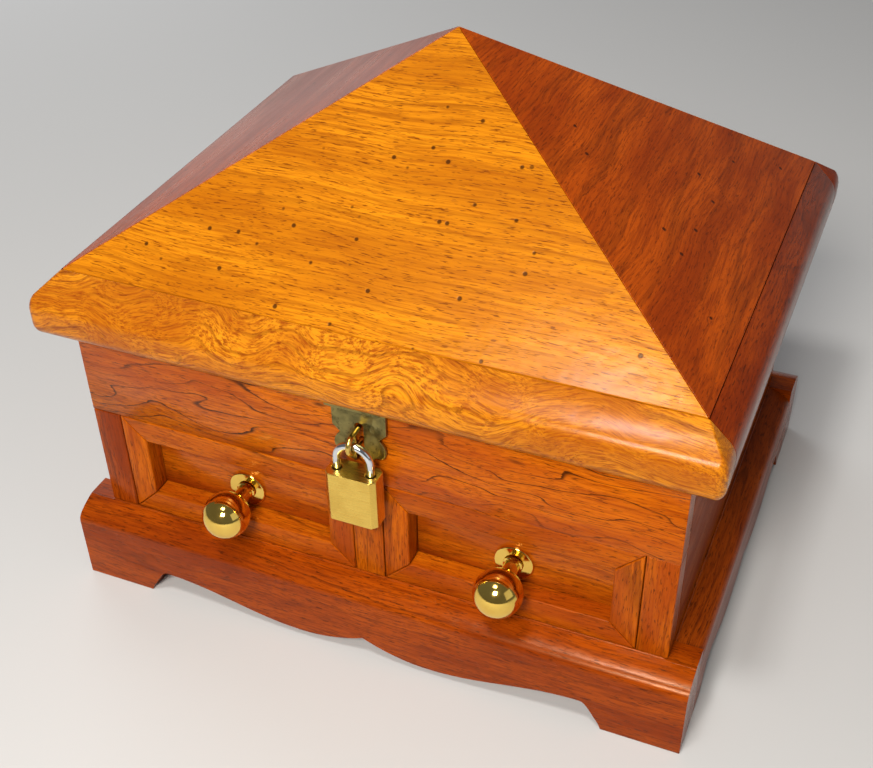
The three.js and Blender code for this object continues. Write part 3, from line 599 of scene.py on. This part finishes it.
def plinth_section():
    """Across a plinth board: (distance in from its face, height)."""
    top = plinth_high.z
    outline = [(0, 0), (PLINTH_DEPTH, 0), (PLINTH_DEPTH, top), (PLINTH_OVERHANG, top)]
    outline += arc(PLINTH_OVERHANG, top, VARNISH_BEAD, 90, 170, 5)
    steps = 12
    for i in range(1, steps + 1):
        t = i / steps * (1 - PLINTH_NOSE / PLINTH_OVERHANG)
        outline.append((PLINTH_OVERHANG * (1 - t), top - PLINTH_FALL * (t + t * t) / 2))
    start = Vector(outline[-1])
    slope = PLINTH_FALL / PLINTH_OVERHANG * (0.5 + t)
    corner = Vector((0, start.y - slope * PLINTH_NOSE))
    end = corner - Vector((0, PLINTH_NOSE * PLINTH_NOSE_FALL))
    outline += [(spot.x, spot.y) for spot in bend(start, corner, end, steps)]
    return outline


def add_plinth():
    case_low, case_high = limits("plinth_right")
    section = plinth_section()
    half_x = plinth_high.x
    half_y = (plinth_back - plinth_low.y) / 2
    side_half = (case_high.y - case_low.y) / 2
    stations = 262

    def board(name, reach, half_length, to_place, grain):
        beaded = half_length - PLINTH_OVERHANG
        places = []
        for i in range(stations + 1):
            along = -reach + 2 * reach * i / stations
            low = scallop(along, half_length)
            high = plinth_high.z + (VARNISH_BEAD if abs(along) < beaded else 0)
            places.append(lambda p, a=along, z=low, top=high: to_place(a, p[0], min(max(p[1], z), top)))
        bm = bmesh.new()
        add_loft(bm, section, places)
        mesh = to_mesh(name, bm)
        finish_piece(f"{name}_board", mesh, "case", grain, [name], 0.7)

    def front_or_back(side):
        return lambda a, inward, z: point(a, middle_y + side * (half_y - inward), z)

    def left_or_right(side):
        return lambda a, inward, z: point(side * (half_x - inward), middle_y + a, z)

    board("plinth_front", half_x, half_x, front_or_back(-1), wood("plinth", "X", 1))
    board("plinth_back", half_x, half_x, front_or_back(1), wood("plinth", "X", 2))
    # The side boards take the painted-shade copy of the plinth wood.
    board("plinth_left", side_half, half_y, left_or_right(-1), wood("plinth_side_shaded", "Y", 3))
    board("plinth_right", side_half, half_y, left_or_right(1), wood("plinth_side_shaded", "Y", 4))


# ---- lid --------------------------------------------------------------------------------


def add_rim():
    eased("rim_front", "lid", wood("rim", "X", 1), 0.25)
    eased("rim_back", "lid", wood("rim_side", "X", 2), 0.25)
    eased("rim_left", "lid", wood("rim_side", "Y", 3), 0.25)
    eased("rim_right", "lid", wood("rim_side", "Y", 4), 0.25)


def add_roof():
    eased("roof_front", "lid", wood("roof_gold", "X", 1), 0.25)
    eased("roof_back", "lid", wood("roof_gold", "X", 2), 0.25)
    eased("roof_left", "lid", wood("roof_brown", "Y", 3), 0.25)
    eased("roof_right", "lid", wood("roof_brown", "Y", 4), 0.25)


# ---- knobs ------------------------------------------------------------------------------


def add_knobs():
    """Each knob is a ball and stem turned in one, on a round rose."""
    for side in ("left", "right"):
        body = f"{side}_drawer"
        rose_low, rose_high = limits(f"{side}_knob_rose")
        knob_low, knob_high = limits(f"{side}_knob")
        x = (rose_low.x + rose_high.x) / 2
        z = (rose_low.z + rose_high.z) / 2
        rose_radius = (rose_high.x - rose_low.x) / 2
        thickness = rose_high.y - rose_low.y

        profile = [(0, 0), (rose_radius - 0.15, 0), (rose_radius, 0.15)]
        profile += arc(rose_radius - ROSE_EDGE, thickness - ROSE_EDGE, ROSE_EDGE, 0, 90, 8)
        profile.append((0, thickness))
        bm = bmesh.new()
        add_turned(bm, profile, point(x, rose_high.y, z), Vector((0, -1, 0)))
        node = f"{side}_knob_rose"
        finish_piece(f"{side}_rose", to_mesh("rose", bm), body, knob_brass, [node])

        reach = knob_high.y - knob_low.y
        ball = reach - KNOB_RADIUS
        neck = math.degrees(math.asin(STEM_RADIUS / KNOB_RADIUS))
        profile = [(0, 0), (STEM_RADIUS + 0.7, 0), (STEM_RADIUS + 0.8, 0.25), (STEM_RADIUS + 0.65, 0.75)]
        profile += [(STEM_RADIUS + 0.1, 1.05), (STEM_RADIUS - 0.1, 1.8)]
        steps = 44
        for i in range(steps + 1):
            turn = math.radians(neck + (180 - neck) * i / steps)
            radius = 0 if i == steps else KNOB_RADIUS * math.sin(turn)
            profile.append((radius, ball - KNOB_RADIUS * math.cos(turn)))
        bm = bmesh.new()
        add_turned(bm, profile, point(x, knob_high.y, z), Vector((0, -1, 0)))
        node = f"{side}_knob"
        finish_piece(f"{side}_ball_knob", to_mesh("knob", bm), body, knob_brass, [node])


# ---- hinges -----------------------------------------------------------------------------


def add_screw_head(bm, centre, outward, radius=1.7, height=0.45):
    """A domed wood-screw head standing on a plate."""
    profile = [(0, -0.3), (radius, -0.3), (radius, 0)]
    for i in range(1, 7):
        turn = math.pi / 2 * i / 6
        profile.append((radius * math.cos(turn) if i < 6 else 0, height * math.sin(turn)))
    add_turned(bm, profile, centre, outward, 24)


def add_knuckle(bm, start, stop, y, z):
    """A barrel of a hinge between two places along its axis, with eased rims."""
    length = stop - start
    profile = [(0, 0), (KNUCKLE_RADIUS - KNUCKLE_EDGE, 0), (KNUCKLE_RADIUS, KNUCKLE_EDGE)]
    profile += [(KNUCKLE_RADIUS, length - KNUCKLE_EDGE), (KNUCKLE_RADIUS - KNUCKLE_EDGE, length)]
    profile.append((0, length))
    add_turned(bm, profile, point(start, y, z), Vector((1, 0, 0)), 32)


def add_lower_leaf(node, axis_y, axis_z):
    """The case leaf, with a knuckle at each end and three screws."""
    low, high = limits(node)
    third = (high.x - low.x) / 3
    middle = (high.x + low.x) / 2
    face_y = low.y + LEAF_THICKNESS
    plate_top = axis_z - KNUCKLE_RADIUS * 0.6
    bm = bmesh.new()
    add_block(bm, low, point(high.x, face_y, plate_top))
    for start in (low.x, high.x - third):
        add_block(bm, point(start, low.y, plate_top - LAP), point(start + third, face_y, axis_z))
        add_knuckle(bm, start, start + third, axis_y, axis_z)
    for step in (-1, 0, 1):
        height = OUTER_SCREW_HEIGHT if step else MIDDLE_SCREW_HEIGHT
        spot = point(middle + step * HINGE_SCREW_SPACING, face_y, low.z + height)
        add_screw_head(bm, spot, Vector((0, 1, 0)))
    finish_piece(f"{node}_detailed", to_mesh("leaf", bm), "case", old_brass, [node])


def add_upper_leaf(node, lower_node, axis_y, axis_z):
    """The lid leaf under the rim, with the middle knuckle."""
    lower_low, lower_high = limits(lower_node)
    half_third = (lower_high.x - lower_low.x) / 6
    middle = (lower_low.x + lower_high.x) / 2
    high = limits(node)[1]
    under = high.z - LEAF_THICKNESS
    edge_y = axis_y + KNUCKLE_RADIUS + HINGE_GAP
    start = middle - half_third + HINGE_GAP
    stop = middle + half_third - HINGE_GAP
    bm = bmesh.new()
    add_block(bm, point(lower_low.x, edge_y, under), point(lower_high.x, high.y, high.z))
    add_block(bm, point(start, axis_y, under), point(stop, edge_y + LAP, high.z))
    add_knuckle(bm, start, stop, axis_y, axis_z)
    finish_piece(f"{node}_detailed", to_mesh("leaf", bm), "lid", old_brass, [node])


def add_hinges():
    for side in ("left", "right"):
        pin_low, pin_high = limits(f"hinge_pin_{side}")
        axis_y = (pin_low.y + pin_high.y) / 2
        axis_z = (pin_low.z + pin_high.z) / 2
        lower = f"hinge_leaf_lower_{side}"
        add_lower_leaf(lower, axis_y, axis_z)
        add_upper_leaf(f"hinge_leaf_upper_{side}", lower, axis_y, axis_z)


# ---- hasp, staple and padlock -----------------------------------------------------------


def fork_edge(half, bottom, steps=8):
    """Right side of the hasp's lower end, from its shoulder down to the slot."""

    def spot(inward, up):
        return Vector((half - inward, bottom + up))

    lobe_top = spot(1.6, 10.4)
    lobe_bottom = spot(2, 3.4)
    toe = spot(6, 1)
    points = [spot(0, 15), spot(3, 12), lobe_top]
    points += bend(lobe_top, spot(-1, 6.5), lobe_bottom, steps)
    points += bend(lobe_bottom, spot(5.5, 4.2), toe, steps)
    return points


def add_hasp():
    """Plate with a lobed, forked lower end, bent over under the rim and screwed to it."""
    low, high = limits("hasp_plate")
    half = high.x
    face_y = high.y - HASP_THICKNESS
    under = high.z - HASP_THICKNESS
    slot_top = limits("hasp_staple")[1].z + HASP_SLOT_MARGIN
    right = fork_edge(half, low.z)
    right += [Vector((HASP_SLOT_HALF + 0.4, low.z + 0.05)), Vector((HASP_SLOT_HALF, low.z + 0.5))]
    slot_end = arc(0, slot_top - HASP_SLOT_HALF, HASP_SLOT_HALF, 0, 90, 6)
    right += [Vector(p) for p in slot_end]
    left = [Vector((-p.x, p.y)) for p in reversed(right)][1:]
    outline = [Vector((-half, high.z)), Vector((half, high.z))] + right + left
    bm = bmesh.new()
    add_plate(bm, outline, face_y, high.y)
    add_block(bm, point(-half, low.y, under), point(half, face_y + LAP, high.z))
    for side in (-1, 1):
        spot = point(side * (half - HASP_SCREW_INSET.x), low.y + HASP_SCREW_INSET.y, under)
        add_screw_head(bm, spot, Vector((0, 0, -1)), 1.4, 0.4)
    mesh = to_mesh("hasp", bm)
    finish_piece("hasp", mesh, "lid", old_brass, ["hasp_plate"], 0.2, 2, 50)


def add_staple():
    """Wire loop standing out from the rail, one leg above the other."""
    low, high = limits("hasp_staple")
    spacing = high.z - low.z - 2 * STAPLE_RADIUS
    bend_y = low.y + STAPLE_RADIUS + spacing / 2
    top = high.z - STAPLE_RADIUS
    bottom = low.z + STAPLE_RADIUS
    ends = [point(0, high.y, top), point(0, high.y, bottom)]
    path = hoop(ends[0], point(0, bend_y, top), point(0, 0, -spacing), ends[1])
    bm = bmesh.new()
    add_wire(bm, path, STAPLE_RADIUS)
    mesh = to_mesh("staple", bm)
    finish_piece("staple", mesh, "case", wire_brass, ["hasp_staple"])


def add_shackle():
    """Steel bow with a long left leg and a short right leg."""
    low, high = limits("padlock_shackle")
    spacing = high.x - low.x - 2 * SHACKLE_RADIUS
    y = (low.y + high.y) / 2
    left = low.x + SHACKLE_RADIUS
    bend_z = high.z - SHACKLE_RADIUS - spacing / 2
    short_end = limits("padlock_body")[1].z - SHORT_LEG_DEPTH
    path = hoop(
        point(left, y, low.z), point(left, y, bend_z),
        point(spacing, 0, 0), point(left + spacing, y, short_end),
    )
    bm = bmesh.new()
    add_wire(bm, path, SHACKLE_RADIUS, 28)
    mesh = to_mesh("shackle", bm)
    finish_piece("shackle_bow", mesh, "shackle", steel, ["padlock_shackle"])


def drilled(piece, holes):
    """Cuts (axis start, axis end, radius) holes into a piece and keeps the result as its mesh."""
    for start, stop, radius in holes:
        bm = bmesh.new()
        length = (stop - start).length
        profile = [(0, 0), (radius, 0), (radius, length), (0, length)]
        add_turned(bm, profile, start, stop - start, 40)
        cutter = bpy.data.objects.new("cutter", to_mesh("cutter", bm))
        bpy.context.scene.collection.objects.link(cutter)
        cut = piece.modifiers.new("hole", "BOOLEAN")
        cut.operation = "DIFFERENCE"
        cut.solver = "EXACT"
        cut.object = cutter
        bpy.context.view_layer.update()
        evaluated = piece.evaluated_get(bpy.context.evaluated_depsgraph_get())
        shaped = bpy.data.meshes.new_from_object(evaluated)
        piece.modifiers.remove(cut)
        piece.data = shaped
        bpy.data.objects.remove(cutter)


def add_lock_body():
    """Chamfered brass block, drilled for both shackle legs and the key plug."""
    low, high = limits("padlock_body")
    y = (low.y + high.y) / 2
    corners = [
        (low.x + LOCK_CHAMFER, low.y), (high.x - LOCK_CHAMFER, low.y),
        (high.x, low.y + LOCK_CHAMFER), (high.x, high.y - LOCK_CHAMFER),
        (high.x - LOCK_CHAMFER, high.y), (low.x + LOCK_CHAMFER, high.y),
        (low.x, high.y - LOCK_CHAMFER), (low.x, low.y + LOCK_CHAMFER),
    ]
    bm = bmesh.new()
    add_loft(bm, corners, [lambda p, z=z: point(p[0], p[1], z) for z in (low.z, high.z)])
    mesh = to_mesh("lock_body", bm)
    piece = finish_piece("lock_case", mesh, "lock_body", lock_brass, ["padlock_body"])
    leg_x = limits("padlock_shackle")[1].x - SHACKLE_RADIUS
    above = high.z + 1
    below = low.z - 1
    drilled(piece, [
        (point(-leg_x, y, high.z - LONG_LEG_HOLE), point(-leg_x, y, above), SHACKLE_HOLE_RADIUS),
        (point(leg_x, y, high.z - SHORT_LEG_HOLE), point(leg_x, y, above), SHACKLE_HOLE_RADIUS),
        (point(0, y, below), point(0, y, low.z + PLUG_HOLE_DEPTH), PLUG_HOLE_RADIUS),
    ])
    piece.data.shade_smooth()
    round_edges(piece, 0.35, 3, 35)


def finish_kept_nodes():
    """Nodes that keep their CAD shape get their finish here."""
    kept = {
        "padlock_plug": lock_brass, "hinge_pin_left": wire_brass, "hinge_pin_right": wire_brass,
        "left_knob_screw": steel, "right_knob_screw": steel,
    }
    for node, material in kept.items():
        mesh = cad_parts[node].data
        mesh.materials.clear()
        mesh.materials.append(material)


# ---- stage, light and camera --------------------------------------------------------------


def add_floor():
    bm = bmesh.new()
    bmesh.ops.create_grid(bm, x_segments=1, y_segments=1, size=4)
    mesh = bpy.data.meshes.new("floor")
    bm.to_mesh(mesh)
    bm.free()
    floor = bpy.data.objects.new("floor", mesh)
    floor.location.z = -0.0002
    bpy.context.scene.collection.objects.link(floor)
    n = Nodes("floor_paint")
    n.set(Base_Color=(0.56, 0.556, 0.548, 1), Roughness=0.8)
    mesh.materials.append(n.material)


def add_light(name, place, target, size, power, tint):
    lamp = bpy.data.lights.new(name, "AREA")
    lamp.shape = "RECTANGLE"
    lamp.size, lamp.size_y = size
    lamp.energy = power
    lamp.color = tint
    holder = bpy.data.objects.new(name, lamp)
    holder.location = place
    holder.rotation_euler = (Vector(target) - Vector(place)).to_track_quat("-Z", "Y").to_euler()
    bpy.context.scene.collection.objects.link(holder)


def add_lights():
    middle = (0, 0, 0.1)
    add_light("key", (0.1, -0.82, 0.75), middle, (0.25, 0.25), 11.5, (1.0, 0.96, 0.9))
    add_light("glow", (-0.06, -0.46, 1.1), middle, (0.3, 0.22), 1.5, (1.0, 0.97, 0.95))
    add_light("glint", (-0.02, -0.46, 1.1), middle, (0.12, 0.12), 3.5, (1.0, 0.98, 0.95))
    add_light("fill_right", (1.2, -0.4, 0.6), middle, (0.8, 0.8), 1.0, (1.0, 1.0, 1.0))
    add_light("back_left", (-1.0, 0.8, 0.6), middle, (0.9, 0.6), 6, (0.95, 0.97, 1.0))
    world = bpy.data.worlds.new("studio")
    bpy.context.scene.world = world
    world.use_nodes = True
    background = world.node_tree.nodes["Background"]
    background.inputs["Color"].default_value = (0.9, 0.92, 0.95, 1)
    background.inputs["Strength"].default_value = 0.15


CAMERA_PLACE = point(170, -325, 401)
CAMERA_ANGLES = (23.4, 39.1, -1.08)  # degrees round to the right, down, and of roll
LENS = 53.61  # for a sensor 36 wide
LENS_SHIFT = 0.0641  # up, as a share of the picture's width


def add_camera():
    """In front of the front right corner and above, looking down at the box."""
    azimuth, elevation, roll = (math.radians(angle) for angle in CAMERA_ANGLES)
    place = (CAMERA_PLACE + FRONT_SHIFT) * MM
    ahead = Vector((
        -math.sin(azimuth) * math.cos(elevation),
        math.cos(azimuth) * math.cos(elevation),
        -math.sin(elevation),
    ))
    level = Vector((math.cos(azimuth), math.sin(azimuth), 0))
    upright = level.cross(ahead)
    right = level * math.cos(roll) + upright * math.sin(roll)
    up = upright * math.cos(roll) - level * math.sin(roll)
    data = bpy.data.cameras.new("camera")
    data.sensor_width = 36
    data.lens = LENS
    data.shift_y = LENS_SHIFT
    camera = bpy.data.objects.new("camera", data)
    turned = Matrix((right, up, -ahead)).transposed().to_4x4()
    camera.matrix_world = Matrix.Translation(place) @ turned
    bpy.context.scene.collection.objects.link(camera)
    bpy.context.scene.camera = camera


# ---- assembly -----------------------------------------------------------------------------

add_case()
add_drawer_frames()
add_drawers()
add_plinth()
add_rim()
add_roof()
add_knobs()
add_hinges()
add_hasp()
add_staple()
add_shackle()
add_lock_body()
finish_kept_nodes()
add_floor()
add_lights()
add_camera()
bpy.context.scene.view_settings.view_transform = "Standard"
